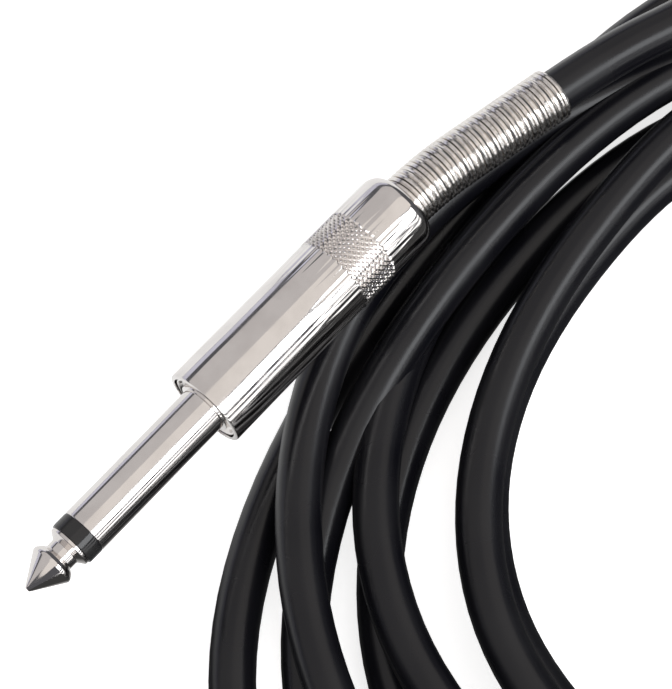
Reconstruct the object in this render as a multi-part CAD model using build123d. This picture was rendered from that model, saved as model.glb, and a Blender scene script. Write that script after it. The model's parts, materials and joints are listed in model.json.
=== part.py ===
from build123d import *
import math
import os

# Instrument cable: two straight 6.35 mm phone plugs on 2.9 m of coaxial cable.
# Millimetres. The floor is z = 0. Both plugs lie along X, their tips towards -X.
# A plug's own sizes are measured back from the end of its tip, along its axis.

# ---- cable ----
CABLE_D = 6.0
CORE_D = 2.8            # inner insulation round the centre conductor
WIRE_D = 0.9            # centre conductor

# ---- contacts ----
SLEEVE_D = 6.35
TIP_D = 5.9
TIP_NOSE_D = 1.0
TIP_CONE_L = 4.1        # nose to widest place
TIP_SHOULDER_L = 5.0
NECK_D = 4.0
NECK_START = 5.4
NECK_END = 6.5
TIP_L = 7.6             # nose to the back of the tip's collar
RING_L = 2.2            # black insulating ring between tip and sleeve
RING_D = SLEEVE_D
SLEEVE_START = TIP_L + RING_L
SLEEVE_L = 21.2         # bare length that goes into a jack
ROD_D = 2.2
TUBE_WALL = 0.5         # insulating tube round the rod

# ---- collar that the barrel screws on ----
COLLAR_START = SLEEVE_START + SLEEVE_L
THREAD_D = 8.9
THREAD_DEPTH = 0.35
THREAD_ROOT_D = THREAD_D - 2 * THREAD_DEPTH
THREAD_PITCH = 0.8
FLANGE_D = THREAD_D + 0.7
FLANGE_L = 1.4
DISH_DEPTH = 0.9        # the collar's front is dished
HUB_D = SLEEVE_D + 1.05     # flat boss in the middle of the dish, where the sleeve enters
THREAD_TURNS = 7
COLLAR_L = FLANGE_L + THREAD_PITCH * THREAD_TURNS
COLLAR_END = COLLAR_START + COLLAR_L

# ---- barrel ----
BARREL_WALL = 0.9
THREAD_CLEARANCE = 0.3
FLANGE_CLEARANCE = 0.2
BARREL_BORE_D = THREAD_D + 2 * THREAD_CLEARANCE
FRONT_BORE_D = FLANGE_D + 2 * FLANGE_CLEARANCE
BARREL_D = BARREL_BORE_D + 2 * BARREL_WALL
BARREL_REAR_D = BARREL_D - 0.3
BARREL_L = 37.1
KNURL_START = 23.9      # from the barrel's front
KNURL_L = 5.4
KNURL_PROUD = 0.08
REAR_ROUND = 1.9        # length of the rounded rear shoulder
REAR_LAND = 0.1         # flat left between the shoulder and the lip's bore
LIP_L = 1.5
BARREL_END = COLLAR_START + BARREL_L

# ---- insulating liner inside the barrel ----
LINER_CLEARANCE = 0.1
LINER_D = BARREL_BORE_D - 2 * LINER_CLEARANCE
LINER_WALL = 0.3
LINER_GAP = 0.6         # clear of the collar's back
LINER_L = 22.0

# ---- strain relief spring ----
SPRING_WIRE = 0.65
SPRING_ID_GAP = 0.06
SPRING_D = CABLE_D + 2 * (SPRING_ID_GAP + SPRING_WIRE)
SPRING_OUT_L = 26.0     # length behind the barrel
FLARE_D = SPRING_D + 0.98   # wider turns that the barrel's lip holds back
FLARE_L = 2.4
LIP_CLEARANCE = 0.22    # round the spring, in the barrel's lip
FLARE_GAP = 0.15

# ---- inner ends ----
WASHER_D = CABLE_D - 0.4    # clears the ground lug's strip
WASHER_T = 0.8
RIVET_D = 3.2
RIVET_T = 0.5
LUG_T = 0.4
LUG_EYE_D = RIVET_D + 1.6
TIP_LUG_L = 6.5
TIP_LUG_W = 2.6
GROUND_LUG_W = 3.4
CLAMP_L = 3.2
CLAMP_WALL = 0.45
CLAMP_START = COLLAR_END + 13.5
JACKET_START = CLAMP_START - 1.2
INSULATION_OUT = 2.0    # insulation that shows ahead of the jacket
TAIL_D = 0.84           # the screen's twisted strands
SOLDER_D = 2.3

# ---- where the two plugs lie ----
PLUG_A_TIP_X = -42.0
PLUG_B_TIP_X = -51.4
PLUG_SPAN_Y = 131.4     # between the two plugs' axes
COIL_H = 2 * CABLE_D    # the coil is two layers deep where plug A lies on it
PLUG_A_Z = COIL_H + 0.25 + BARREL_D / 2
LEAN_SIDE = 10.4        # degrees that plug A's spring leans aside
LEAN_DOWN = 2.4         # degrees that it droops
LEAN_START = BARREL_END + 4.4
LEAN_LEAD = 13.0        # straight cable ahead of the bend

PLUG_B_Z = BARREL_D / 2

os.makedirs("parts", exist_ok=True)


def turned(outline):
    """A solid of revolution about X from (x, radius) corners."""
    face = make_face(Polyline(*[(x, r, 0) for x, r in outline], close=True))
    return revolve(face, Axis.X)


def rod(x_start, x_end, diameter):
    return turned([(x_start, 0), (x_end, 0), (x_end, diameter / 2), (x_start, diameter / 2)])


def sleeve(x_start, x_end, outer_d, inner_d):
    return turned([(x_start, inner_d / 2), (x_end, inner_d / 2), (x_end, outer_d / 2), (x_start, outer_d / 2)])


# ---------- pieces of one plug, about its own axis ----------

def tip_contact():
    """Turned tip with its neck, on a rod that is riveted over behind the washer."""
    rod_end = COLLAR_END + WASHER_T + LUG_T
    nose_r = TIP_NOSE_D / 2
    tip_r = TIP_D / 2
    body = turned([
        (0, 0),
        (0, nose_r * 0.6),
        (nose_r * 0.5, nose_r),
        (TIP_CONE_L, tip_r),
        (TIP_CONE_L + 0.35, tip_r - 0.03),
        (TIP_SHOULDER_L, tip_r - 0.4),
        (NECK_START, NECK_D / 2),
        (NECK_END, NECK_D / 2),
        (TIP_L - 0.45, tip_r),
        (TIP_L, tip_r),
        (TIP_L, ROD_D / 2),
        (rod_end, ROD_D / 2),
        (rod_end, RIVET_D / 2),
        (rod_end + RIVET_T * 0.4, RIVET_D / 2),
        (rod_end + RIVET_T, RIVET_D / 4),
        (rod_end + RIVET_T, 0),
    ])
    return body


def insulator():
    """Black ring behind the tip, in one piece with the tube that lines the sleeve."""
    tube_r = ROD_D / 2 + TUBE_WALL
    return turned([
        (TIP_L, ROD_D / 2),
        (COLLAR_END, ROD_D / 2),
        (COLLAR_END, tube_r),
        (SLEEVE_START, tube_r),
        (SLEEVE_START, RING_D / 2),
        (TIP_L, RING_D / 2),
    ])


def sleeve_contact():
    """Long sleeve with the dished flange and the threaded collar behind it."""
    bore_r = ROD_D / 2 + TUBE_WALL
    sleeve_r = SLEEVE_D / 2
    flange_r = FLANGE_D / 2
    outline = [
        (SLEEVE_START, bore_r),
        (SLEEVE_START, sleeve_r),
        (COLLAR_START, sleeve_r),
        (COLLAR_START, HUB_D / 2),
        (COLLAR_START + DISH_DEPTH, HUB_D / 2 + 0.1),
        (COLLAR_START + 0.25, flange_r - 0.35),
        (COLLAR_START + 0.2, flange_r),
        (COLLAR_START + FLANGE_L, flange_r),
    ]
    for turn in range(THREAD_TURNS):
        start = COLLAR_START + FLANGE_L + turn * THREAD_PITCH
        outline.append((start, THREAD_ROOT_D / 2))
        outline.append((start + THREAD_PITCH * 0.45, THREAD_D / 2))
        outline.append((start + THREAD_PITCH * 0.55, THREAD_D / 2))
    outline.append((COLLAR_END, THREAD_ROOT_D / 2))
    outline.append((COLLAR_END, bore_r))
    return turned(outline)


def washer():
    return sleeve(COLLAR_END, COLLAR_END + WASHER_T, WASHER_D, ROD_D)


def tip_lug():
    """Flat tag under the rod's riveted end, bent back to take the centre wire."""
    start = COLLAR_END + WASHER_T
    disc = sleeve(start, start + LUG_T, LUG_EYE_D, ROD_D)
    drop = -LUG_EYE_D / 2
    tongue = Pos(start + TIP_LUG_L / 2, 0, drop + LUG_T / 2) * Box(TIP_LUG_L, TIP_LUG_W, LUG_T)
    return disc + tongue


def ground_lug():
    """Strip from the collar's back to two fingers that grip the jacket."""
    strip_z = CABLE_D / 2 + CLAMP_WALL / 2
    clamp_end = CLAMP_START + CLAMP_L
    strip_l = clamp_end - COLLAR_END
    strip = Pos(COLLAR_END + strip_l / 2, 0, strip_z) * Box(strip_l, GROUND_LUG_W, CLAMP_WALL)
    band = sleeve(CLAMP_START, clamp_end, CABLE_D + 2 * CLAMP_WALL, CABLE_D)
    gap = Pos((CLAMP_START + clamp_end) / 2, 0, -CABLE_D / 2) * Box(CLAMP_L * 2, CABLE_D * 0.35, 4)
    jacket_room = rod(COLLAR_END - 1, clamp_end + 1, CABLE_D)
    return band + (strip - jacket_room) - gap


def tip_solder():
    centre_x = COLLAR_END + WASHER_T + TIP_LUG_L - 1.6
    lug_top = -LUG_EYE_D / 2 + LUG_T
    blob = Pos(centre_x, 0, lug_top) * Sphere(SOLDER_D / 2)
    above = Pos(centre_x, 0, lug_top + 2.5) * Box(6, 6, 5)
    return (blob & above) - core_wire()


def core_wire():
    """Centre conductor from its insulation to the tip's lug."""
    lug_top = -LUG_EYE_D / 2 + LUG_T
    wire_z = lug_top + WIRE_D / 2 + 0.06
    start = (COLLAR_END + WASHER_T + TIP_LUG_L - 3.0, 0, wire_z)
    bend = (COLLAR_END + WASHER_T + TIP_LUG_L + 0.8, 0, wire_z)
    end_x = JACKET_START - INSULATION_OUT - 1.0
    path = FilletPolyline(start, bend, (end_x, 0, 0), (end_x + 2.5, 0, 0), radius=1.0)
    section = Plane(origin=path @ 0, z_dir=path % 0) * Circle(WIRE_D / 2)
    return sweep(section, path=path)


def core_insulation():
    body = rod(JACKET_START - INSULATION_OUT, JACKET_START, CORE_D)
    return body - core_wire()


def shield_tail():
    """Braid drawn off the core and twisted up to the ground lug."""
    start_z = CORE_D / 2 + TAIL_D / 2 + 0.03
    lug_z = CABLE_D / 2 - TAIL_D / 2 - 0.03
    path = FilletPolyline(
        (JACKET_START, 0, start_z),
        (JACKET_START - 2.2, 0, start_z),
        (JACKET_START - 4.2, 0, lug_z),
        (JACKET_START - 6.4, 0, lug_z),
        radius=1.0,
    )
    section = Plane(origin=path @ 0, z_dir=path % 0) * Circle(TAIL_D / 2)
    return sweep(section, path=path)


def ground_solder():
    centre_x = JACKET_START - 5.6
    lug_face = CABLE_D / 2
    blob = Pos(centre_x, 0, lug_face) * Sphere(SOLDER_D / 2 - 0.05)
    below = Pos(centre_x, 0, lug_face - 2.5) * Box(6, 6, 5)
    return (blob & below) - shield_tail() - ground_lug()


def liner():
    start = COLLAR_END + LINER_GAP
    return sleeve(start, start + LINER_L, LINER_D, LINER_D - 2 * LINER_WALL)


def barrel():
    """Plated barrel: knurled band, rounded rear shoulder, lip that holds the spring's wide end."""
    front_r = BARREL_D / 2
    rear_r = BARREL_REAR_D / 2
    lip_r = SPRING_D / 2 + LIP_CLEARANCE

    def outer_r(x):
        return front_r + (rear_r - front_r) * x / BARREL_L

    knurl_end = KNURL_START + KNURL_L
    drop = rear_r - lip_r - REAR_LAND
    quarter = [math.radians(a) for a in (0, 22.5, 45, 67.5, 90)]
    shoulder = [(BARREL_L - REAR_ROUND * (1 - math.sin(a)), rear_r - drop * (1 - math.cos(a))) for a in quarter]
    outline = [
        (0, FRONT_BORE_D / 2),
        (0, front_r - 0.25),
        (0.25, front_r),
        (KNURL_START, outer_r(KNURL_START)),
        (KNURL_START + 0.15, outer_r(KNURL_START) + KNURL_PROUD),
        (knurl_end - 0.15, outer_r(knurl_end) + KNURL_PROUD),
        (knurl_end, outer_r(knurl_end)),
    ] + shoulder + [
        (BARREL_L, lip_r),
        (BARREL_L - LIP_L, lip_r),
        (BARREL_L - LIP_L, BARREL_BORE_D / 2),
        (FLANGE_L + 0.3, BARREL_BORE_D / 2),
        (FLANGE_L + 0.3, FRONT_BORE_D / 2),
    ]
    return Pos(COLLAR_START, 0, 0) * turned(outline)


def cable_axis(start_x, lean_side, lean_down):
    """Line of the cable from start_x, inside the plug, to the spring's end."""
    out = BARREL_END + SPRING_OUT_L - LEAN_START
    start = (start_x, 0, 0)
    if lean_side == 0:
        return Line(start, (LEAN_START + out, 0, 0))
    side = math.radians(lean_side)
    down = math.radians(lean_down)
    end = (
        LEAN_START + out * math.cos(side) * math.cos(down),
        -out * math.sin(side) * math.cos(down),
        -out * math.sin(down),
    )
    radius = 0.45 * LEAN_LEAD / math.tan(math.radians(math.hypot(lean_side, lean_down)) / 2)
    return FilletPolyline(start, (LEAN_START, 0, 0), end, radius=radius)


def spring(lean_side, lean_down):
    """Outer shape of the close-wound spring, with its flared first turns inside the barrel."""
    flare_end = BARREL_END - LIP_L - FLARE_GAP
    flare_start = flare_end - FLARE_L
    inner_r = CABLE_D / 2 + SPRING_ID_GAP
    flare = turned([
        (flare_start, FLARE_D / 2 - SPRING_WIRE),
        (flare_start, FLARE_D / 2),
        (flare_start + 0.7 * FLARE_L, FLARE_D / 2),
        (flare_end, SPRING_D / 2),
        (flare_end, inner_r),
        (flare_start + 0.7 * FLARE_L, inner_r + 0.05),
    ])
    axis = cable_axis(flare_end, lean_side, lean_down)
    section = Plane(origin=axis @ 0, z_dir=axis % 0) * (Circle(SPRING_D / 2) - Circle(inner_r))
    return flare + sweep(section, path=axis)


def jacket_end(lean_side, lean_down):
    """The jacket from the clamp, through the spring, to the spring's end."""
    start_x = LEAN_START - LEAN_LEAD
    axis = cable_axis(start_x, lean_side, lean_down)
    section = Plane(origin=axis @ 0, z_dir=axis % 0) * Circle(CABLE_D / 2)
    return rod(JACKET_START, start_x, CABLE_D) + sweep(section, path=axis)


# ---------- the cable ----------

# Each turn of the coil is an oval, wide of the last one, and the turns fan out at -X:
# crest x, top y, left x, foot y, right x, squareness, middle y, then the height of the
# cable's centre at the left end, at the top and at the right end.
LOW = CABLE_D / 2 + 0.05
MIDDLE_LAYER = CABLE_D * 1.42
HIGH = CABLE_D * 1.48
TOP_LAYER = CABLE_D * 2.4
TURNS = [
    (60, 56.2, -33, -53.3, 104.5, 2.3, 5.7, HIGH, TOP_LAYER, TOP_LAYER),
    (27, 66.2, -33, -53.3, 107.0, 1.9, 5.7, HIGH, MIDDLE_LAYER, MIDDLE_LAYER),
    (52, 61.2, -20, -47.3, 101.0, 2.3, 5.7, HIGH, LOW, MIDDLE_LAYER),
    (57, 48.7, -11.5, -41.3, 95.0, 2.3, -0.3, HIGH, MIDDLE_LAYER, MIDDLE_LAYER),
    (50, 47.2, -8.5, -38.3, 92.0, 2.3, -0.3, LOW, LOW, LOW),
    (40, 53.4, -27, -44.3, 98.0, 2.2, 0.7, LOW, LOW, LOW),
    (42, 58.2, -39, -50.3, 104.0, 2.3, 1.7, LOW, MIDDLE_LAYER, LOW),
    (58, 64.7, -47, -56.3, 110.0, 2.6, 4.2, LOW, LOW, LOW),
    (58, 64.7, -47, -60.3, 110.0, 2.6, 4.2, LOW, LOW, LOW),
]
FULL_TURNS = len(TURNS) - 1     # the last row is only where the cable leaves for plug B
FIRST_STEP = 14
LEAVES_AT = 0.81
FOOT_SQUARER = 0.4      # the turns' near halves are a little squarer
STEPS = 20              # points in a turn


def between(a, b, share):
    share = min(1.0, max(0.0, share))
    return a + (b - a) * share * share * (3 - 2 * share)


def turn_point(turn, phase):
    """Phase 0 is the foot of a turn, 0.25 its left end, 0.5 its top and 0.75 its right end."""
    now = TURNS[turn]
    after = TURNS[turn + 1]
    crest, top, left, foot, right, square, middle, z_left, z_top, z_right = now
    if phase > 0.75:
        share = (phase - 0.75) / 0.25
        crest = between(crest, after[0], share)
        foot = between(foot, after[3], share)
        square = between(square, after[5], share)
        middle = between(middle, after[6], share)
        right = between(right, after[4], share)
        z = between(z_right, after[7], share)
    elif phase > 0.5:
        z = between(z_top, z_right, (phase - 0.58) / 0.14)
    else:
        z = between(z_left, z_top, (phase - 0.34) / 0.14)
    if phase < 0.25 or phase > 0.75:
        square += FOOT_SQUARER
    angle = -2 * math.pi * phase - math.pi / 2
    across = math.copysign(abs(math.cos(angle)) ** (2 / square), math.cos(angle))
    upward = math.copysign(abs(math.sin(angle)) ** (2 / square), math.sin(angle))
    reach = right - crest if across > 0 else crest - left
    rise = top - middle if upward > 0 else middle - foot
    return crest + across * reach, middle + upward * rise, z


def coil_points():
    points = []
    for turn in range(FULL_TURNS):
        for step in range(STEPS):
            before_start = turn == 0 and step < FIRST_STEP
            past_end = turn == FULL_TURNS - 1 and step / STEPS > LEAVES_AT
            if not before_start and not past_end:
                points.append(turn_point(turn, step / STEPS))
    return points


# The lead from plug A's spring to the coil, and the one from the coil to plug B's spring.
# Each runs straight on from its spring before its first bend.
LEAD_A_STRAIGHT = 9.5
LEAD_B = [(105.9, -38.5, LOW), (100.0, -48.5, LOW), (91.0, -56.6, LOW), (78.0, -62.3, CABLE_D * 0.6)]
LEAD_B_STRAIGHT = 16.0
COIL_MIDDLE = (45.0, 5.7)
OUTLINE_SPOKES = 40
COIL_MARGIN = CABLE_D / 2 + 0.25
COIL_CAP_X = 89.0
COIL_CAP_H = 3 * CABLE_D + 0.4  # three layers at the far end
LEAD_A = [(73.0, 56.1, COIL_CAP_H - 0.45 * CABLE_D), (86.0, 53.1, COIL_CAP_H - CABLE_D / 2)]
STUB_L = 12.0


def coil_outline(outermost):
    """Smooth closed line round the coil, outside or inside all its turns."""
    middle = Vector(*COIL_MIDDLE)
    samples = []
    for turn in range(1, FULL_TURNS):
        stop = LEAVES_AT if turn == FULL_TURNS - 1 else 1.0
        samples += [turn_point(turn, s / 100) for s in range(round(100 * stop))]
    reach = [0.0 if outermost else 1000.0] * OUTLINE_SPOKES
    for x, y, z in samples:
        arm = Vector(x, y) - middle
        spoke = round(math.atan2(arm.Y, arm.X) / (2 * math.pi) * OUTLINE_SPOKES) % OUTLINE_SPOKES
        if outermost:
            reach[spoke] = max(reach[spoke], arm.length + COIL_MARGIN)
        else:
            reach[spoke] = min(reach[spoke], arm.length - COIL_MARGIN)
    points = []
    for spoke in range(OUTLINE_SPOKES):
        angle = 2 * math.pi * spoke / OUTLINE_SPOKES
        points.append((middle.X + reach[spoke] * math.cos(angle), middle.Y + reach[spoke] * math.sin(angle)))
    return make_face(Spline(*points, periodic=True))


def stub(start, heading):
    section = Plane(origin=start, z_dir=heading) * Circle(CABLE_D / 2)
    return extrude(section, STUB_L)


def cable_coil():
    """Outer shape of the coil: two layers deep, three at its far end, with both ends of the cable."""
    ring = coil_outline(True) - coil_outline(False)
    low = extrude(ring, COIL_H)
    high = extrude(ring, COIL_CAP_H) & (Pos(COIL_CAP_X + 100, 0, 0) * Box(200, 400, 100))
    end_a = Vector(*LEAD_A[-1])
    end_b = Vector(*LEAD_B[0])
    stub_a = stub(end_a, end_a - Vector(*LEAD_A[-2]))
    stub_b = stub(end_b, end_b - Vector(*LEAD_B[1]))
    return low + high + stub_a + stub_b


def tube(points, name):
    """Cable along straight runs joined by the largest tangent arcs that fit."""
    corners = [Vector(*p) for p in points]
    runs = [(b - a).length for a, b in zip(corners, corners[1:])]
    radii = []
    for i in range(1, len(corners) - 1):
        turn = (corners[i] - corners[i - 1]).get_angle(corners[i + 1] - corners[i])
        radii.append(0.45 * min(runs[i - 1], runs[i]) / math.tan(math.radians(turn) / 2))
    path = FilletPolyline(*corners, radius=radii)
    body = sweep(Plane(origin=path @ 0, z_dir=path % 0) * Circle(CABLE_D / 2), path=path)
    wanted = math.pi * CABLE_D ** 2 / 4 * path.length
    print(name, "radii", [round(r) for r in radii], "length", round(path.length, 1),
          "volume", round(body.volume / wanted, 4))
    return body, path.length


# ---------- build ----------

def plug(suffix, place, lean_side, lean_down):
    """Write the pieces of one plug, put in its place."""
    pieces = {
        "tip_contact": tip_contact(),
        "tip_insulator": insulator(),
        "sleeve_contact": sleeve_contact(),
        "rear_washer": washer(),
        "tip_lug": tip_lug(),
        "ground_lug": ground_lug(),
        "tip_solder": tip_solder(),
        "ground_solder": ground_solder(),
        "core_wire": core_wire(),
        "core_insulation": core_insulation(),
        "shield_tail": shield_tail(),
        "barrel_liner": liner(),
        "barrel": barrel(),
        "strain_relief_spring": spring(lean_side, lean_down),
        "jacket_end": jacket_end(lean_side, lean_down),
    }
    for name, shape in pieces.items():
        export_step(place * shape, f"parts/{name}_{suffix}.step")


place_a = Pos(PLUG_A_TIP_X, PLUG_SPAN_Y / 2, PLUG_A_Z)
plug("a", place_a, LEAN_SIDE, LEAN_DOWN)
place_b = Pos(PLUG_B_TIP_X, -PLUG_SPAN_Y / 2, PLUG_B_Z)
plug("b", place_b, 0, 0)

axis_a = place_a * cable_axis(LEAN_START - LEAN_LEAD, LEAN_SIDE, LEAN_DOWN)
axis_b = place_b * cable_axis(LEAN_START - LEAN_LEAD, 0, 0)
exit_a = axis_a @ 1
exit_b = axis_b @ 1
straight_a = exit_a + (axis_a % 1) * LEAD_A_STRAIGHT
straight_b = exit_b + (axis_b % 1) * LEAD_B_STRAIGHT
lead_a, length_a = tube([exit_a, straight_a, *LEAD_A], "lead a")
lead_b, length_b = tube([*LEAD_B, straight_b, exit_b], "lead b")
export_step(lead_a, "parts/cable_lead_a.step")
export_step(lead_b, "parts/cable_lead_b.step")
export_step(cable_coil(), "parts/cable_coil.step")

turns = [Vector(*p) for p in coil_points()]
wound = sum((b - a).length for a, b in zip(turns, turns[1:]))
inside = 2 * (BARREL_END + SPRING_OUT_L - JACKET_START)
print("exit a", exit_a, "exit b", exit_b)
print("first bends", straight_a, straight_b)
print("wound", round(wound), "whole cable", round(wound + length_a + length_b + inside))
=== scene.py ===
# %% [markdown]
# # Instrument cable
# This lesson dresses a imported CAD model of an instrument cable: two nickel-plated
# phone plugs on 2.9 metres of black cable, laid in a loose coil. The CAD parts are
# already in their places and at their real size, in metres. Here they get their finishes,
# and the pieces that CAD only blocks in, such as the cable, the spring and the
# knurled barrel, are modelled properly and put in their place.

# %% Load the frame
import json
import math

import bmesh
import bpy
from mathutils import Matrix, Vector


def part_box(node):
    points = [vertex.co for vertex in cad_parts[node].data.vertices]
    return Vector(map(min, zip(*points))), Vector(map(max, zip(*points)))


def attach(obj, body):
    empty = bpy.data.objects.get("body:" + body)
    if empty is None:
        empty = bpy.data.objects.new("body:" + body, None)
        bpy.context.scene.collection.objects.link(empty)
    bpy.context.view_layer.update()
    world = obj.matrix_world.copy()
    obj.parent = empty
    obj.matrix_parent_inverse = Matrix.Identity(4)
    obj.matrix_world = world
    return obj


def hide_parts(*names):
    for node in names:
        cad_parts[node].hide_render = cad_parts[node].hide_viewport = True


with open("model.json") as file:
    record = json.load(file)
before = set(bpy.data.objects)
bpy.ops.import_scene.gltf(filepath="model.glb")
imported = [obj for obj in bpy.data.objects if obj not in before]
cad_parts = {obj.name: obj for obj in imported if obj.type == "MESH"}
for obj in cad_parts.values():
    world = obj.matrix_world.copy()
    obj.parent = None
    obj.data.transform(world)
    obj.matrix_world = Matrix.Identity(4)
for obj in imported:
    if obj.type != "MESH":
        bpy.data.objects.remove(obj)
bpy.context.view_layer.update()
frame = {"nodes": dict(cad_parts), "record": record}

# %% [markdown]
# ## Where things are
# Positions are read from the frame's own boxes, so that they stay right if a part is
# made longer. Each plug lies along X with its tip towards -X, so one corner of a box
# and half its height give the whole axis.

# %% The plugs' places
MM = 0.001


def middle(node):
    """The middle of a node's box."""
    low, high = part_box(node)
    return [(a + b) / 2 for a, b in zip(low, high)]


def plug_axis(suffix):
    """The nose of a plug, on its axis."""
    low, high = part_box("tip_contact_" + suffix)
    y, z = middle("barrel_" + suffix)[1:]
    return Vector((low[0], y, z))


nose = {suffix: plug_axis(suffix) for suffix in "ab"}
print("noses", {k: [round(c, 4) for c in v] for k, v in nose.items()})

# %% [markdown]
# ## The camera
# The camera looks down at the plug from 300 mm away, 69 degrees above the floor. A long
# lens keeps the plug's sides nearly parallel. It is turned so that the plug points to the
# lower left.

# %% Camera
CAMERA_DISTANCE = 0.300
CAMERA_ELEVATION = math.radians(69.0)
CAMERA_HEADING = math.radians(-48.0)    # turn of the view's upward direction from +Y
FOCUS_HEIGHT = 0.010
FRAME_HEIGHT = 0.0883       # how much of the scene the view's long side takes in at the plug
AIM_BEHIND_NOSE = 0.05042
AIM_BESIDE_NOSE = 0.00441

target = Vector((nose["a"].x + AIM_BEHIND_NOSE, nose["a"].y - AIM_BESIDE_NOSE, FOCUS_HEIGHT))
away = Vector((-math.sin(CAMERA_HEADING), math.cos(CAMERA_HEADING), 0))
toward = Vector((-away.x * math.cos(CAMERA_ELEVATION), -away.y * math.cos(CAMERA_ELEVATION),
                 math.sin(CAMERA_ELEVATION)))
camera_data = bpy.data.cameras.new("camera")
camera_data.sensor_width = 36.0
camera_data.lens = camera_data.sensor_width * CAMERA_DISTANCE / FRAME_HEIGHT
camera = bpy.data.objects.new("camera", camera_data)
camera.location = target + toward * CAMERA_DISTANCE
camera.rotation_euler = toward.to_track_quat("Z", "Y").to_euler()
bpy.context.collection.objects.link(camera)
bpy.context.scene.camera = camera
print("lens", round(camera_data.lens, 1), "camera at", camera.location)

# %% [markdown]
# ## Shared effects
# Real finishes are never even. Three effects are used in several materials, so each is a
# node group with named inputs: the faint rings that a lathe and a polishing wheel leave,
# the smudges of handling, and the fine grain of moulded plastic. They read Object
# coordinates, which are real metres here, so a scale of 1000 is one feature per millimetre.

# %% Node groups
def new_group(name, inputs, outputs):
    tree = bpy.data.node_groups.new(name, "ShaderNodeTree")
    for socket, default in inputs.items():
        made_socket = tree.interface.new_socket(socket, in_out="INPUT",
                                                socket_type="NodeSocketFloat")
        made_socket.default_value = default
    for socket in outputs:
        tree.interface.new_socket(socket, in_out="OUTPUT", socket_type="NodeSocketFloat")
    return tree, tree.nodes.new("NodeGroupInput"), tree.nodes.new("NodeGroupOutput")


def math_node(tree, operation, a, b):
    node = tree.nodes.new("ShaderNodeMath")
    node.operation = operation
    for socket, value in zip(node.inputs, (a, b)):
        if isinstance(value, (int, float)):
            socket.default_value = value
        else:
            tree.links.new(value, socket)
    return node.outputs[0]


def noise_node(tree, scale, detail, stretch=(1, 1, 1)):
    place = tree.nodes.new("ShaderNodeTexCoord")
    mapping = tree.nodes.new("ShaderNodeMapping")
    mapping.inputs["Scale"].default_value = stretch
    noise = tree.nodes.new("ShaderNodeTexNoise")
    noise.inputs["Detail"].default_value = detail
    tree.links.new(place.outputs["Object"], mapping.inputs["Vector"])
    tree.links.new(mapping.outputs["Vector"], noise.inputs["Vector"])
    tree.links.new(scale, noise.inputs["Scale"])
    return noise.outputs["Fac"]


def mask_node(tree, value, low, high):
    """Spread the middle of a noise over 0 to 1."""
    spread = tree.nodes.new("ShaderNodeMapRange")
    spread.inputs["From Min"].default_value = low
    spread.inputs["From Max"].default_value = high
    tree.links.new(value, spread.inputs["Value"])
    return spread.outputs["Result"]


rings, enter, leave = new_group("turning_marks", {"Scale": 6000.0}, ["Height"])
turned = noise_node(rings, enter.outputs["Scale"], 2.0, (1, 0.03, 0.03))
rings.links.new(turned, leave.inputs["Height"])

smudges, enter, leave = new_group("handling", {"Scale": 260.0, "Scratches": 900.0},
                                  ["Mask", "Fine"])
broad = noise_node(smudges, enter.outputs["Scale"], 3.0)
fine = noise_node(smudges, enter.outputs["Scratches"], 4.0, (0.25, 2.0, 1.0))
smudges.links.new(mask_node(smudges, broad, 0.40, 0.66), leave.inputs["Mask"])
smudges.links.new(mask_node(smudges, fine, 0.46, 0.72), leave.inputs["Fine"])

grain, enter, leave = new_group("moulded_grain", {"Scale": 7000.0, "Waves": 120.0},
                                ["Height", "Mask"])
small = noise_node(grain, enter.outputs["Scale"], 2.0)
waves = noise_node(grain, enter.outputs["Waves"], 1.0)
grain.links.new(math_node(grain, "ADD", small, math_node(grain, "MULTIPLY", waves, 0.6)),
                leave.inputs["Height"])
grain.links.new(mask_node(grain, waves, 0.35, 0.65), leave.inputs["Mask"])
print("node groups", [g.name for g in (rings, smudges, grain)])

# %% [markdown]
# ## Finishes
# Every finish is a Principled shader whose colour and roughness move between two values by
# a mask, with a very small bump for its surface. Plating is almost a mirror, so its
# variation is mostly in roughness. The jacket is satin PVC: black, with a soft sheen.

# %% Materials
def finish(name, colours, roughness, metal, effect, mask, height, bump, values=None, fixed=None):
    material = bpy.data.materials.new(name)
    material.use_nodes = True
    tree = material.node_tree
    shader = tree.nodes["Principled BSDF"]
    shader.inputs["Metallic"].default_value = metal
    for socket, value in (fixed or {}).items():
        shader.inputs[socket].default_value = value
    masks = tree.nodes.new("ShaderNodeGroup")
    masks.node_tree = effect[0]
    relief = tree.nodes.new("ShaderNodeGroup")
    relief.node_tree = effect[1]
    for node in (masks, relief):
        for socket, value in (values or {}).items():
            if socket in node.inputs:
                node.inputs[socket].default_value = value
    blend = tree.nodes.new("ShaderNodeMix")
    blend.data_type = "RGBA"
    blend.inputs["A"].default_value = (*colours[0], 1)
    blend.inputs["B"].default_value = (*colours[1], 1)
    tree.links.new(masks.outputs[mask], blend.inputs["Factor"])
    tree.links.new(blend.outputs["Result"], shader.inputs["Base Color"])
    rough = tree.nodes.new("ShaderNodeMapRange")
    rough.inputs["To Min"].default_value = roughness[0]
    rough.inputs["To Max"].default_value = roughness[1]
    tree.links.new(masks.outputs[mask], rough.inputs["Value"])
    tree.links.new(rough.outputs["Result"], shader.inputs["Roughness"])
    surface = tree.nodes.new("ShaderNodeBump")
    surface.inputs["Strength"].default_value = 1.0
    surface.inputs["Distance"].default_value = bump
    tree.links.new(relief.outputs[height], surface.inputs["Height"])
    tree.links.new(surface.outputs["Normal"], shader.inputs["Normal"])
    return material


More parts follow.
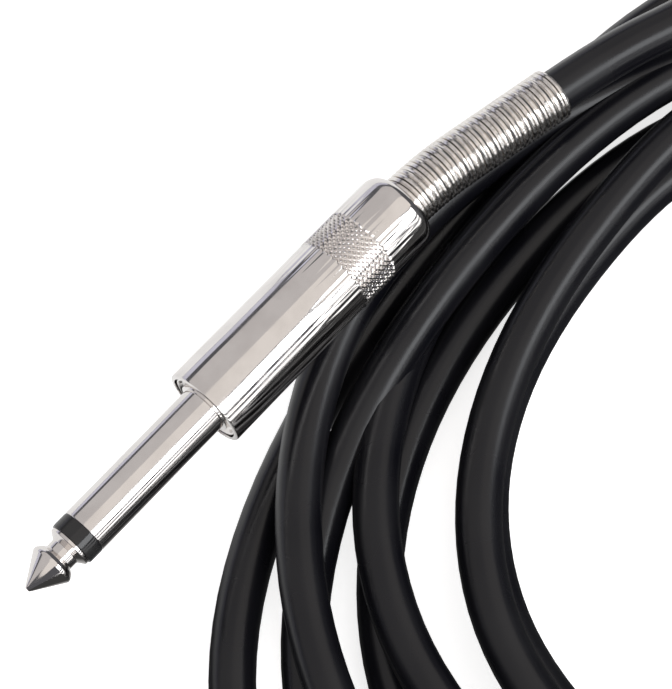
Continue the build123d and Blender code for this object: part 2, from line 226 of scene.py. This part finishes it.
plated = (smudges, rings)
plastic = (grain, grain)
finishes = {
    "nickel_plate": finish(
        "nickel_plate", [(0.80, 0.77, 0.75), (0.74, 0.71, 0.69)], (0.07, 0.15), 1.0,
        plated, "Mask", "Height", 0.0000006),
    "spring_steel": finish(
        "spring_steel", [(0.82, 0.79, 0.76), (0.72, 0.69, 0.66)], (0.18, 0.30), 1.0,
        plated, "Fine", "Height", 0.0000008),
    "cable_jacket": finish(
        "cable_jacket", [(0.004, 0.004, 0.006), (0.007, 0.007, 0.009)], (0.24, 0.31), 0.0,
        plastic, "Mask", "Height", 0.000003, {"Scale": 9000.0, "Waves": 90.0},
        {"Specular IOR Level": 0.42}),
    "black_insulator": finish(
        "black_insulator", [(0.012, 0.012, 0.013), (0.02, 0.02, 0.02)], (0.10, 0.22), 0.0,
        plastic, "Mask", "Height", 0.000001, {"Scale": 5000.0, "Waves": 300.0}),
    "fibre_washer": finish(
        "fibre_washer", [(0.30, 0.10, 0.05), (0.20, 0.06, 0.03)], (0.5, 0.7), 0.0,
        plastic, "Mask", "Height", 0.00002, {"Scale": 4000.0, "Waves": 900.0}),
    "tinned_brass": finish(
        "tinned_brass", [(0.68, 0.66, 0.62), (0.55, 0.52, 0.46)], (0.22, 0.42), 1.0,
        plated, "Fine", "Height", 0.000003),
    "solder": finish(
        "solder", [(0.62, 0.62, 0.62), (0.45, 0.45, 0.46)], (0.18, 0.4), 1.0,
        (smudges, grain), "Mask", "Height", 0.00002, {"Scale": 1500.0, "Waves": 700.0}),
    "copper_wire": finish(
        "copper_wire", [(0.78, 0.40, 0.25), (0.60, 0.28, 0.17)], (0.2, 0.38), 1.0,
        (smudges, grain), "Fine", "Height", 0.00003, {"Scale": 3000.0, "Waves": 2000.0}),
    "copper_braid": finish(
        "copper_braid", [(0.74, 0.40, 0.26), (0.50, 0.24, 0.15)], (0.25, 0.5), 1.0,
        (smudges, grain), "Fine", "Height", 0.00006, {"Scale": 4500.0, "Waves": 2500.0}),
    "white_insulation": finish(
        "white_insulation", [(0.80, 0.80, 0.76), (0.70, 0.69, 0.64)], (0.35, 0.5), 0.0,
        plastic, "Mask", "Height", 0.000005, {"Scale": 4000.0, "Waves": 400.0}),
    "clear_liner": finish(
        "clear_liner", [(0.80, 0.76, 0.66), (0.70, 0.66, 0.56)], (0.2, 0.35), 0.0,
        plastic, "Mask", "Height", 0.000004, {"Scale": 2500.0, "Waves": 300.0},
        {"Transmission Weight": 0.6}),
}
print(len(finishes), "finishes")

# %% [markdown]
# ## The cable's route
# A cable is one smooth line. A NURBS curve of order 3 is drawn towards its control points
# without touching them, so a few listed points give a curve with no kinks. The
# two leads are such points. Between them the coil's turns are worked out by a loop: each
# turn is an oval, and its row of sizes says how far it fans out. After its foot a turn
# grows into the next one.

# %% Route points
LOW = 3.05
HIGH = 8.9
TOP_LAYER = 14.4
TURNS = [
    (60, 56.2, -33, -53.3, 104.5, 2.3, 5.7, HIGH, TOP_LAYER, TOP_LAYER),
    (27, 66.2, -33, -53.3, 107.0, 1.9, 5.7, 9.1, 8.5, 8.5),
    (52, 61.2, -20, -47.3, 101.0, 2.3, 5.7, 9.1, LOW, 8.5),
    (57, 48.7, -11.5, -41.3, 95.0, 2.3, -0.3, 9.0, 8.5, 8.5),
    (50, 47.2, -8.5, -38.3, 92.0, 2.3, -0.3, LOW, LOW, LOW),
    (40, 53.4, -27, -44.3, 98.0, 2.2, 0.7, LOW, LOW, LOW),
    (42, 58.2, -39, -50.3, 104.0, 2.3, 1.7, LOW, 8.5, LOW),
    (58, 64.7, -47, -56.3, 110.0, 2.6, 4.2, LOW, LOW, LOW),
    (58, 64.7, -47, -60.3, 110.0, 2.6, 4.2, LOW, LOW, LOW),
]
FULL_TURNS = len(TURNS) - 1
STEPS = 20
FIRST_STEP = 14
LEAVES_AT = 0.81
FOOT_SQUARER = 0.4      # the turns' near halves are a little squarer


def between(a, b, share):
    share = min(1.0, max(0.0, share))
    return a + (b - a) * share * share * (3 - 2 * share)


def turn_point(turn, phase):
    """Phase 0 is the foot of a turn, 0.25 its left end, 0.5 its top, 0.75 its right end."""
    after = TURNS[turn + 1]
    crest, top, left, foot, right, square, rest, z_left, z_top, z_right = TURNS[turn]
    if phase > 0.75:
        share = (phase - 0.75) / 0.25
        crest = between(crest, after[0], share)
        foot = between(foot, after[3], share)
        square = between(square, after[5], share)
        rest = between(rest, after[6], share)
        right = between(right, after[4], share)
        z = between(z_right, after[7], share)
    elif phase > 0.5:
        z = between(z_top, z_right, (phase - 0.58) / 0.14)
    else:
        z = between(z_left, z_top, (phase - 0.34) / 0.14)
    if phase < 0.25 or phase > 0.75:
        square += FOOT_SQUARER
    angle = -2 * math.pi * phase - math.pi / 2
    across = math.copysign(abs(math.cos(angle)) ** (2 / square), math.cos(angle))
    upward = math.copysign(abs(math.sin(angle)) ** (2 / square), math.sin(angle))
    reach = right - crest if across > 0 else crest - left
    rise = top - rest if upward > 0 else rest - foot
    return crest + across * reach, rest + upward * rise, z


coil = []
for turn in range(FULL_TURNS):
    for step in range(STEPS):
        before_start = turn == 0 and step < FIRST_STEP
        past_end = turn == FULL_TURNS - 1 and step / STEPS > LEAVES_AT
        if not before_start and not past_end:
            coil.append(turn_point(turn, step / STEPS))

EXIT_A = (51.73, 61.80, 17.0)
EXIT_B = (42.7, -65.7, 5.65)
LEAD_A = [EXIT_A, (61.06, 60.09, 16.6), (73.0, 56.1, 15.7), (86.0, 53.1, 15.4)]
LEAD_B = [(105.9, -38.5, LOW), (100.0, -48.5, LOW), (91.0, -56.6, LOW), (78.0, -62.3, 3.6),
          (58.7, -65.7, 5.65), EXIT_B]
route = LEAD_A + coil + LEAD_B
print("route points", len(route))

# %% [markdown]
# ## The cable's line
# The line is given a round section of its own by the curve's bevel. It stays a curve, so
# that its length and bends can be measured, and it gets its jacket.

# %% Cable curve
CABLE_D = 0.006


def nurbs(name, points, bevel):
    curve = bpy.data.curves.new(name, "CURVE")
    curve.dimensions = "3D"
    spline = curve.splines.new("NURBS")
    spline.points.add(len(points) - 1)
    for point, place in zip(spline.points, points):
        point.co = (*place, 1.0)
    spline.order_u = 3
    spline.use_endpoint_u = True
    curve.resolution_u = 6
    curve.bevel_depth = bevel
    curve.bevel_resolution = 5
    piece = bpy.data.objects.new(name, curve)
    bpy.context.collection.objects.link(piece)
    return piece


cable = nurbs("cable", [[c * MM for c in p] for p in route], CABLE_D / 2)
cable.data.materials.append(finishes["cable_jacket"])
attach(cable, "root")
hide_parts("cable_lead_a", "cable_coil", "cable_lead_b")
runs = sum((Vector(b) - Vector(a)).length for a, b in zip(route, route[1:]))
print("cable", round(runs), "mm of runs")

# %% [markdown]
# ## Turned metal parts
# The tip, the sleeve with its flange and the black ring are turned on a lathe, so each is
# half an outline spun round the plug's axis; the washer keeps its CAD shape. CAD has the
# same shapes, but in flat facets that a mirror-bright plating would show. Here the outline's
# corners are rounded a little first, because a polished edge always catches a line of light,
# and then it is spun with the Spin operator and shaded smooth except at its sharp edges.

# %% A helper for turned pieces
SPIN_STEPS = 128
SHARP = math.radians(32)


def shade(form):
    """Smooth faces, with a hard line only where two faces meet at a corner."""
    for face in form.faces:
        face.smooth = True
    for edge in form.edges:
        edge.smooth = not (edge.is_manifold and edge.calc_face_angle(0) > SHARP)


def finished(form, name, body, stands_for, place):
    """Close a bmesh into an object whose place is in its mesh."""
    bmesh.ops.remove_doubles(form, verts=form.verts, dist=1e-7)
    bmesh.ops.recalc_face_normals(form, faces=form.faces)
    shade(form)
    bmesh.ops.translate(form, verts=form.verts, vec=place)
    mesh = bpy.data.meshes.new(name)
    form.to_mesh(mesh)
    form.free()
    piece = bpy.data.objects.new(name, mesh)
    bpy.context.collection.objects.link(piece)
    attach(piece, body)
    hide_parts(stands_for)
    print(name, len(mesh.polygons), "faces")
    return piece


def spun(outline, closed, round_over, steps=SPIN_STEPS):
    """Spin an outline of (x, radius) in millimetres round X, its corners rounded first."""
    form = bmesh.new()
    corners = [form.verts.new((x * MM, r * MM, 0)) for x, r in outline]
    pairs = list(zip(corners, corners[1:] + corners[:1]))
    for a, b in pairs if closed else pairs[:-1]:
        form.edges.new((a, b))
    inner = corners if closed else corners[1:-1]
    bmesh.ops.bevel(form, geom=inner, offset=round_over * MM, affect="VERTICES", segments=3,
                    profile=0.5, material=-1, clamp_overlap=True)
    bmesh.ops.spin(form, geom=form.verts[:] + form.edges[:], cent=(0, 0, 0), axis=(1, 0, 0),
                   angle=2 * math.pi, steps=steps, use_merge=True, use_duplicate=False)
    return form


made = {}

# %% [markdown]
# ## Tip and rod
# A phone plug's tip is an arrow: a cone, a shoulder that the jack's spring snaps behind,
# a neck and a collar. It is one piece with the rod that carries its signal back through
# the plug to a riveted end.

# %% Tips
TIP_R = 2.95
TIP_OUTLINE = [
    (0.0, 0.0), (0.0, 0.3), (0.25, 0.5), (4.1, TIP_R), (4.45, TIP_R - 0.03), (5.0, 2.55),
    (5.4, 2.0), (6.5, 2.0), (7.15, TIP_R), (7.6, TIP_R), (7.6, 1.1), (39.2, 1.1), (39.2, 1.6),
    (39.4, 1.6), (39.7, 0.8), (39.7, 0.0),
]
for s in "ab":
    made["tip_contact_" + s] = finished(spun(TIP_OUTLINE, False, 0.1), "turned_tip_" + s, "root",
                                        "tip_contact_" + s, nose[s])

# %% [markdown]
# ## Black ring and insulating tube
# The ring keeps tip and sleeve apart. It is moulded in one with the thin tube that lines
# the sleeve, and its outside is rounded very slightly so that it slides past the contacts.

# %% Insulators
INSULATOR_OUTLINE = [
    (7.6, 1.1), (38.0, 1.1), (38.0, 1.6), (9.8, 1.6), (9.8, 3.15), (9.5, 3.175), (7.9, 3.175),
    (7.6, 3.12),
]
for s in "ab":
    made["tip_insulator_" + s] = finished(spun(INSULATOR_OUTLINE, True, 0.05), "moulded_ring_" + s,
                                          "root", "tip_insulator_" + s, nose[s])

# %% [markdown]
# ## Sleeve, dished flange and thread
# The long sleeve is the earth contact. Where it meets the barrel its flange is dished, so
# that it throws a bright ring of light, and behind it is the thread that the barrel screws
# on. The thread's ridges are inside the barrel until it is drawn back.

# %% Sleeves
THREAD_PITCH = 0.8
SLEEVE_OUTLINE = [
    (9.8, 1.6), (9.8, 3.1), (9.9, 3.175), (31.0, 3.175), (31.0, 3.7), (31.45, 3.78), (31.85, 3.95),
    (31.9, 4.1), (31.7, 4.35), (31.35, 4.5), (31.2, 4.6), (31.2, 4.8), (32.4, 4.8),
]
for ridge in range(7):
    start = 32.4 + ridge * THREAD_PITCH
    SLEEVE_OUTLINE += [(start, 4.1), (start + 0.36, 4.45), (start + 0.44, 4.45)]
SLEEVE_OUTLINE += [(38.0, 4.1), (38.0, 1.6)]
for s in "ab":
    made["sleeve_contact_" + s] = finished(spun(SLEEVE_OUTLINE, True, 0.04), "turned_sleeve_" + s,
                                           "root", "sleeve_contact_" + s, nose[s])

# %% [markdown]
# ## Knurled barrel
# The barrel is a plated tube with a rounded rear shoulder and, near its rear, a band of
# diamond knurling for the fingers. Knurling could be a bump texture, but it stands out in
# the outline and glitters, so it is real shape: the band's rows of vertices are moved in and
# out where two families of slanting grooves cross.

# %% Barrels
BARREL_START = 31.0
FRONT_R = 5.65
REAR_R = 5.5
BARREL_L = 37.1
LIP_R = 3.93
DIAMONDS = 40           # round the band
DIAMOND_L = 0.78
CELLS = 6               # rows and columns of vertices in one diamond
KNURL_FROM = 23.9
KNURL_ROWS = 42
GROOVE = 0.30


def outer_r(x):
    return FRONT_R + (REAR_R - FRONT_R) * x / BARREL_L


def knurl_row(row):
    return KNURL_FROM + row * DIAMOND_L / CELLS


def ridge_height(turns):
    """0 in a groove and 1 midway between two."""
    return 1 - abs(2 * (turns % 1) - 1)


knurl_to = knurl_row(KNURL_ROWS)
shoulder = [math.radians(a) for a in range(0, 91, 10)]
BARREL_OUTLINE = (
    [(0.0, 5.0), (0.0, 5.45), (0.07, 5.58), (0.2, FRONT_R), (8.0, outer_r(8)), (16.0, outer_r(16)),
     (KNURL_FROM - 0.25, outer_r(KNURL_FROM))]
    + [(knurl_row(row), outer_r(knurl_row(row))) for row in range(KNURL_ROWS + 1)]
    + [(knurl_to + 0.25, outer_r(knurl_to))]
    + [(BARREL_L - 1.9 * (1 - math.sin(a)), REAR_R - 1.47 * (1 - math.cos(a))) for a in shoulder]
    + [(BARREL_L, LIP_R), (BARREL_L - 1.5, LIP_R), (BARREL_L - 1.5, 4.75), (1.7, 4.75), (1.7, 5.0)]
)


def knurled_barrel():
    form = spun(BARREL_OUTLINE, True, 0.0, steps=DIAMONDS * CELLS)
    moved = 0
    for vert in form.verts:
        x = vert.co.x / MM
        r = math.hypot(vert.co.y, vert.co.z) / MM
        if KNURL_FROM - 0.01 < x < knurl_to + 0.01 and r > 5.2:
            around = math.atan2(vert.co.z, vert.co.y) / (2 * math.pi) * DIAMONDS
            along = (x - KNURL_FROM) / DIAMOND_L
            height = min(ridge_height(around + along), ridge_height(around - along))
            new_r = r + 0.07 - GROOVE * (1 - min(1.0, height * 1.15))
            vert.co.y *= new_r / r
            vert.co.z *= new_r / r
            moved += 1
    print("knurl vertices", moved)
    bmesh.ops.translate(form, verts=form.verts, vec=(BARREL_START * MM, 0, 0))
    return form


for s in "ab":
    made["barrel_" + s] = finished(knurled_barrel(), "knurled_barrel_" + s, "barrel_" + s,
                                   "barrel_" + s, nose[s])

# %% [markdown]
# ## Strain relief springs
# Where the cable leaves, a close-wound spring keeps it from kinking. Its first turns are
# wider and are held inside the barrel. CAD has it as a plain tube. Here it is a real wire:
# a helix round the cable's line, which is straight in plug B and leans aside in plug A.

# %% Springs
WIRE_D = 0.69
COIL_PITCH = 0.71
COIL_STEPS = 32
FLARE_START = 64.05
FLARE_TO = 66.2
SPRING_TO = 94.1
LEAN_AT = 72.5
LEAN_TANGENT = 5.85
LEAN = {"a": (10.4, 2.4), "b": (0.0, 0.0)}      # degrees sideways and down
WOUND_R = 3.365             # of the wire's middle
FLARE_OUT = 0.48            # how much wider the turns inside the barrel are
FLARE_OVER = 1.2            # the length in which they narrow


def cable_line(s, distance):
    """Place, direction and two side directions at a distance from the nose along the cable."""
    side, down = (math.radians(a) for a in LEAN[s])
    ahead = Vector((1, 0, 0))
    if side == 0:
        return ahead * distance, ahead, Vector((0, 1, 0)), Vector((0, 0, 1))
    leant = Vector((math.cos(side) * math.cos(down), -math.sin(side) * math.cos(down),
                    -math.sin(down)))
    bend = ahead.angle(leant)
    radius = LEAN_TANGENT / math.tan(bend / 2)
    inward = (leant - ahead * leant.dot(ahead)).normalized()
    upright = ahead.cross(inward)
    begin = LEAN_AT - LEAN_TANGENT
    turned = min(bend, max(0.0, (distance - begin) / radius))
    place = ahead * min(distance, begin)
    place += (ahead * math.sin(turned) + inward * (1 - math.cos(turned))) * radius
    heading = ahead * math.cos(turned) + inward * math.sin(turned)
    place += heading * max(0.0, distance - begin - bend * radius)
    return place, heading, upright.cross(heading), upright


def spring_points(s):
    points = []
    first = FLARE_START + WIRE_D / 2
    coils = (SPRING_TO - WIRE_D / 2 - first) / COIL_PITCH
    for step in range(int(coils * COIL_STEPS) + 1):
        turns = step / COIL_STEPS
        distance = first + turns * COIL_PITCH
        place, heading, across, upright = cable_line(s, distance)
        flare = min(1.0, max(0.0, (FLARE_TO - distance) / FLARE_OVER))
        reach = WOUND_R + FLARE_OUT * flare
        angle = 2 * math.pi * turns
        spot = place + across * reach * math.cos(angle) + upright * reach * math.sin(angle)
        points.append(nose[s] + spot * MM)
    return points


def wire_mesh(name, points, thickness):
    """A round wire through the points, as a closed mesh."""
    curve = bpy.data.curves.new(name, "CURVE")
    curve.dimensions = "3D"
    wire = curve.splines.new("POLY")
    wire.points.add(len(points) - 1)
    for point, spot in zip(wire.points, points):
        point.co = (*spot, 1.0)
    curve.bevel_depth = thickness / 2
    curve.bevel_resolution = 2
    curve.use_fill_caps = True
    drawn = bpy.data.objects.new(name + "_line", curve)
    form = bmesh.new()
    form.from_mesh(bpy.data.meshes.new_from_object(drawn))
    bpy.data.objects.remove(drawn)
    return form


for s in "ab":
    form = wire_mesh("wound_spring_" + s, spring_points(s), WIRE_D * MM)
    made["strain_relief_spring_" + s] = finished(form, "wound_spring_" + s, "root",
                                                 "strain_relief_spring_" + s, (0, 0, 0))

# %% [markdown]

# %% [markdown]
# ## Dressing the pieces
# The record names a finish for every part. A remodelled piece takes it on its new mesh,
# and a part whose CAD shape is right takes it in its own material slots.

# %% Finishes on the pieces
record_slots = {part["node"]: part["material_slot"] for part in frame["record"]["subparts"]}
for name, node in frame["nodes"].items():
    if name in made:
        made[name].data.materials.append(finishes[record_slots[name]])
    else:
        for slot in node.material_slots:
            slot.material = finishes[record_slots[name]]
print("dressed", len(frame["nodes"]), "nodes,", len(made), "of them remodelled")

# %% [markdown]
# ## Floor and light
# Bright metal looks like whatever is round it, so the lights are laid out as its
# reflections: two wide warm panels overhead, a long white softbox on the near side, two
# thin strips under it, and a cool low panel behind. The dark gaps between them draw the
# thin dark lines along the barrel. The floor glows a little, as a light table does, which
# takes the shadows away. A studio lays a black card on the near side, so that metal has a
# dark edge there. Here the floor itself is dark on that side, for mirrored rays only.

# %% Floor
FLOOR_GLOW = 0.75
MIRRORED_NEAR = 0.05    # what the metal mirrors of the floor on its near side
MIRRORED_FAR = 0.95
floor_mesh = bpy.data.meshes.new("floor")
form = bmesh.new()
bmesh.ops.create_grid(form, x_segments=1, y_segments=1, size=3.0)
form.to_mesh(floor_mesh)
form.free()
floor = bpy.data.objects.new("floor", floor_mesh)
bpy.context.collection.objects.link(floor)
paper = bpy.data.materials.new("white_paper")
paper.use_nodes = True
paper_shader = paper.node_tree.nodes["Principled BSDF"]
paper_shader.inputs["Roughness"].default_value = 0.9
paper_shader.inputs["Specular IOR Level"].default_value = 0.0
paper_shader.inputs["Emission Color"].default_value = (1, 1, 1, 1)
nodes, links = paper.node_tree.nodes, paper.node_tree.links
rays = nodes.new("ShaderNodeLightPath")
place = nodes.new("ShaderNodeTexCoord")
parts = nodes.new("ShaderNodeSeparateXYZ")
links.new(place.outputs["Object"], parts.inputs["Vector"])
# Painted reflection: to mirrored rays the floor glows dark on the near side, a painted black card,
# and bright on the far side.
painted_reflection_ramp = nodes.new("ShaderNodeMapRange")
painted_reflection_ramp.inputs["From Min"].default_value = nose["a"].y - 0.012
painted_reflection_ramp.inputs["From Max"].default_value = nose["a"].y + 0.004
painted_reflection_ramp.inputs["To Min"].default_value = MIRRORED_NEAR
painted_reflection_ramp.inputs["To Max"].default_value = MIRRORED_FAR
links.new(parts.outputs["Y"], painted_reflection_ramp.inputs["Value"])
glow = nodes.new("ShaderNodeMix")
glow.inputs["A"].default_value = FLOOR_GLOW
links.new(rays.outputs["Is Glossy Ray"], glow.inputs["Factor"])
links.new(painted_reflection_ramp.outputs["Result"], glow.inputs["B"])
links.new(glow.outputs["Result"], paper_shader.inputs["Emission Strength"])
# Seen directly the floor is white. To mirrored rays it is black, so the metal mirrors only the
# painted glow and no lit floor.
sheet = nodes.new("ShaderNodeMix")
sheet.data_type = "RGBA"
sheet.inputs["A"].default_value = (0.9, 0.9, 0.9, 1)
sheet.inputs["B"].default_value = (0, 0, 0, 1)
links.new(rays.outputs["Is Glossy Ray"], sheet.inputs["Factor"])
links.new(sheet.outputs["Result"], paper_shader.inputs["Base Color"])
floor_mesh.materials.append(paper)

# %% [markdown]
# ## Panels
# Every light is a rectangle that faces the plug. It is placed by its angle from straight
# up, because on a polished cylinder that angle alone decides where its reflection lies.

# %% Lights
subject = Vector((nose["a"].x + 0.05, nose["a"].y, 0.02))


def panel(name, angle, distance, across, along, brightness, colour, x=0.0):
    """A softbox whose middle stands at an angle from straight up, towards -Y."""
    light = bpy.data.lights.new(name, "AREA")
    light.shape = "RECTANGLE"
    light.size = along
    light.size_y = across
    light.energy = math.pi * across * along * brightness
    light.color = colour
    lamp = bpy.data.objects.new(name, light)
    out = Vector((0, -math.sin(math.radians(angle)), math.cos(math.radians(angle))))
    lamp.location = subject + out * distance + Vector((x, 0, 0))
    lamp.rotation_euler = (math.radians(angle), 0, 0)
    bpy.context.collection.objects.link(lamp)
    print(name, round(light.energy, 2), "W")


panel("overhead_far", -35.5, 0.85, 0.92, 2.6, 0.50, (1.0, 0.95, 0.92))
panel("overhead_near", 14.5, 0.85, 0.67, 2.6, 0.76, (1.0, 0.94, 0.88))
panel("near_softbox", 50.5, 0.85, 0.36, 1.6, 4.2, (0.96, 0.98, 1.0))
panel("near_strip", 73.0, 0.85, 0.08, 1.6, 2.5, (1.0, 1.0, 1.0))
panel("low_strip", 86.0, 0.85, 0.12, 1.6, 1.6, (1.0, 1.0, 1.0))
panel("far_panel", -82.5, 1.0, 0.24, 2.4, 0.65, (0.84, 0.84, 1.0))

world = bpy.data.worlds.new("studio")
world.use_nodes = True
world.node_tree.nodes["Background"].inputs["Color"].default_value = (0.10, 0.10, 0.11, 1)
world.node_tree.nodes["Background"].inputs["Strength"].default_value = 1.0
bpy.context.scene.world = world
bpy.context.scene.view_settings.view_transform = "Standard"

# %% [markdown]
# ## Update
# At the end the view layer is updated, so that every piece's place is current.

# %% Size
bpy.context.view_layer.update()
